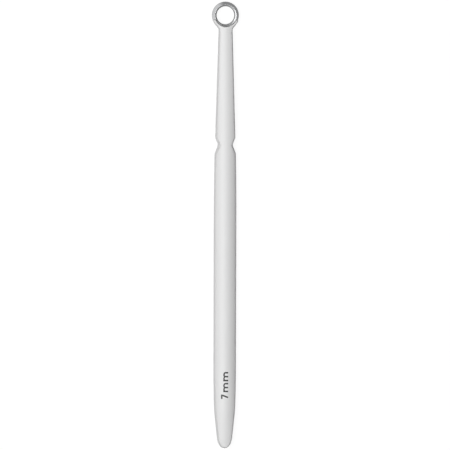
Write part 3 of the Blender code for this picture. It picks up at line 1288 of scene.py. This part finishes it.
@dataclass(frozen=True)
class StampedSteel:
    """Steel strip as it was rolled and stamped, with lines along the tool."""

    bright: Triple = (0.52, 0.53, 0.54)
    dull_share: float = 0.85
    roughness: float = 0.42
    line_size: float = 0.06 * MM
    line_stretch: Triple = (1.0, 0.04, 1.0)
    line_rough: float = 0.6
    line_gloss: float = 0.2
    line_depth: float = 0.002 * MM

    def material(self) -> bpy.types.Material:
        """Draw noise out along the strip.

        Returns:
            The material.
        """
        paint = Paint("stamped_steel")
        drawn_out = paint.stretched(paint.coordinates(), self.line_stretch)
        lines = paint.noise(drawn_out, self.line_size, rough=self.line_rough)
        dull = tuple(value * self.dull_share for value in self.bright)
        paint.set(
            Base_Color=paint.mixed(lines, dull, self.bright),
            Metallic=1.0,
            Roughness=self.roughness + (lines - 0.5) * self.line_gloss,
        )
        paint.relief(lines, self.line_depth)
        return paint.material


@dataclass(frozen=True)
class PrintInk:
    """Black pad printing ink, thin in places."""

    black: float = 0.012
    thin: float = 0.032
    cloud_size: float = 0.25 * MM
    roughness: float = 0.5
    cloud_gloss: float = 0.2

    def material(self) -> bpy.types.Material:
        """Let the ink's cover vary a little.

        Returns:
            The material.
        """
        paint = Paint("print_ink")
        cover = paint.noise(paint.coordinates(), self.cloud_size)
        paint.set(
            Base_Color=paint.mixed(cover, (self.black,) * 3, (self.thin,) * 3),
            Roughness=self.roughness + (cover - 0.5) * self.cloud_gloss,
        )
        return paint.material


@dataclass(frozen=True)
class Studio:
    """A white table, a soft lamp from the upper left, and the camera above."""

    tool: ToolFrame
    picture_size: float = 450.0
    pixel: float = 0.3257 * MM
    middle_x: float = 225.05
    target_up: float = 0.3 * MM
    lens: float = 400.0
    sensor: float = 36.0
    nearest: float = 0.01
    lean: float = math.radians(7.0)
    pitch: float = math.radians(5.0)
    roll: float = math.radians(0.15)
    lamp_from: Triple = (-0.33, 0.06, 1.0)
    lamp_distance: float = 1.4
    lamp_size: float = 1.0
    lamp_power: float = 19.3
    sky: float = 0.06
    table_size: float = 1.6
    table_bounce: float = 0.42
    table_glow: float = 0.90
    table_paint: float = 0.14
    gloss_glow: float = 0.60
    gloss_paint: float = 0.62
    dim_from: Triple = (0.90, 0.25, 0.20)
    dim_middle: float = 0.8
    dim_slope: float = 1.2
    dim_share: float = 0.75
    dim_table: float = 0.60
    dim_reach: float = 4 * MM

    def add_camera(self) -> None:
        """Look down on the tool with a long lens, from a little to the left and toward the ring."""
        data = bpy.data.cameras.new("camera")
        data.lens = self.lens
        data.sensor_width = self.sensor
        data.clip_start = self.nearest
        camera = bpy.data.objects.new("camera", data)
        bpy.context.scene.collection.objects.link(camera)
        distance = self.picture_size * self.pixel * self.lens / self.sensor
        target_x = (self.picture_size / 2 - self.middle_x) * self.pixel
        target = np.array([target_x, self.target_up, self.tool.axis_height])
        backward = np.array([-math.tan(self.lean), math.tan(self.pitch), 1.0])
        backward /= np.linalg.norm(backward)
        right = np.cross([-math.sin(self.roll), math.cos(self.roll), 0.0], backward)
        right /= np.linalg.norm(right)
        up = np.cross(backward, right)
        camera.matrix_world = pose(right, up, backward, target + backward * distance)
        bpy.context.scene.camera = camera

    def add_lamp(self) -> None:
        """A large soft lamp to the upper left of the picture."""
        data = bpy.data.lights.new("softbox", "AREA")
        data.shape = "SQUARE"
        data.size = self.lamp_size
        data.energy = self.lamp_power
        lamp = bpy.data.objects.new("softbox", data)
        bpy.context.scene.collection.objects.link(lamp)
        direction = np.array(self.lamp_from) / np.linalg.norm(self.lamp_from)
        side = np.cross([0.0, 1.0, 0.0], direction)
        side /= np.linalg.norm(side)
        place = direction * self.lamp_distance
        lamp.matrix_world = pose(side, np.cross(direction, side), direction, place)

    def table_material(self) -> bpy.types.Material:
        """Paint that glows where it is shown, so that the camera sees it as white.

        Light that falls on the tool comes off plain grey paint. In the tool's gloss the table
        is darker past the ring, on the side away from the lamp.

        Returns:
            The material.
        """
        paint = Paint("table")
        seen = paint.shown()
        glossy = paint.ray("Glossy")
        grey = seen * (self.table_paint - self.table_bounce) + self.table_bounce
        grey = grey + glossy * (self.gloss_paint - self.table_paint)
        light = seen * self.table_glow + glossy * (self.gloss_glow - self.table_glow)
        local = paint.shifted(paint.coordinates(), tuple(-self.tool.ring_middle()))
        away = paint.dot(local, self.dim_from)
        dim = glossy * (away / self.dim_reach + self.dim_middle).clamped() * self.dim_table
        matt = paint.node("ShaderNodeBsdfDiffuse", Color=grey * (1.0 - dim))
        glow = paint.node("ShaderNodeEmission", Strength=light * (1.0 - dim))
        both = paint.node("ShaderNodeAddShader")
        paint.feed(both.inputs[0], matt.outputs["BSDF"])
        paint.feed(both.inputs[1], glow.outputs["Emission"])
        paint.feed(paint.tree.nodes["Material Output"].inputs["Surface"], both.outputs["Shader"])
        paint.tree.nodes.remove(paint.shader)
        return paint.material

    def add_table(self) -> None:
        """A plain table that the camera sees as white, with the tool's soft shadow on it."""
        half = self.table_size / 2
        corners = [(-half, -half, 0.0), (half, -half, 0.0), (half, half, 0.0), (-half, half, 0.0)]
        mesh = bpy.data.meshes.new("table")
        mesh.from_pydata(corners, [], [(0, 1, 2, 3)])
        mesh.materials.append(self.table_material())
        table = bpy.data.objects.new("table", mesh)
        bpy.context.scene.collection.objects.link(table)
        table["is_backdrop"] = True

    def add_world(self) -> None:
        """A dim even sky for the object, and white behind it for the camera and in gloss.

        In gloss the side away from the lamp is dim, as in a studio that is lit from one side.
        """
        world = bpy.data.worlds.new("studio")
        world.use_nodes = True
        wiring = Wiring(world.node_tree)
        direction = wiring.node("ShaderNodeTexCoord").outputs["Generated"]
        side = (wiring.dot(direction, self.dim_from) * self.dim_slope + self.dim_middle).clamped()
        white = wiring.shown() * (1.0 - self.sky) + self.sky
        background = wiring.tree.nodes["Background"]
        background.inputs["Color"].default_value = (1.0, 1.0, 1.0, 1.0)
        strength = white * (1.0 - wiring.ray("Glossy") * side * self.dim_share)
        wiring.feed(background.inputs["Strength"], strength)
        bpy.context.scene.world = world

    def build(self) -> None:
        """Set up the camera, the lamp, the table and the world."""
        self.add_camera()
        self.add_lamp()
        self.add_table()
        self.add_world()
        bpy.context.scene.view_settings.view_transform = "Standard"


def dress(piece: bpy.types.Object, material: bpy.types.Material, node: str | None) -> None:
    """Give a piece its finish and its place in the model.

    Args:
        piece: The piece.
        material: Its material.
        node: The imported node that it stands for, if it does.
    """
    piece.data.materials.clear()
    piece.data.materials.append(material)
    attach(piece, "root")
    if node:
        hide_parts(node)
    log.info("%s wears %s", piece.name, material.name)


def main() -> None:
    """Build the curette's looks and the studio round it."""
    logging.basicConfig(level=logging.INFO, format="%(name)s: %(message)s")
    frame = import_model()
    tool = ToolFrame.from_model()
    section = RingSection()
    form = HandleForm(tool, section)
    steel = GroundSteel(tool, section).material()
    dress(MouldedHandle(form).build(), MouldedPlastic().material(), "handle")
    dress(GroundRing(tool, section).build(), steel, "ring_blade")
    dress(SizeMark(form).build(), PrintInk().material(), None)
    tang = frame["nodes"]["blade_tang"]
    tang.data.materials.clear()
    tang.data.materials.append(StampedSteel().material())
    log.info("%s keeps its node and wears stamped steel", tang.name)
    Studio(tool).build()


if __name__ == "__main__":
    main()
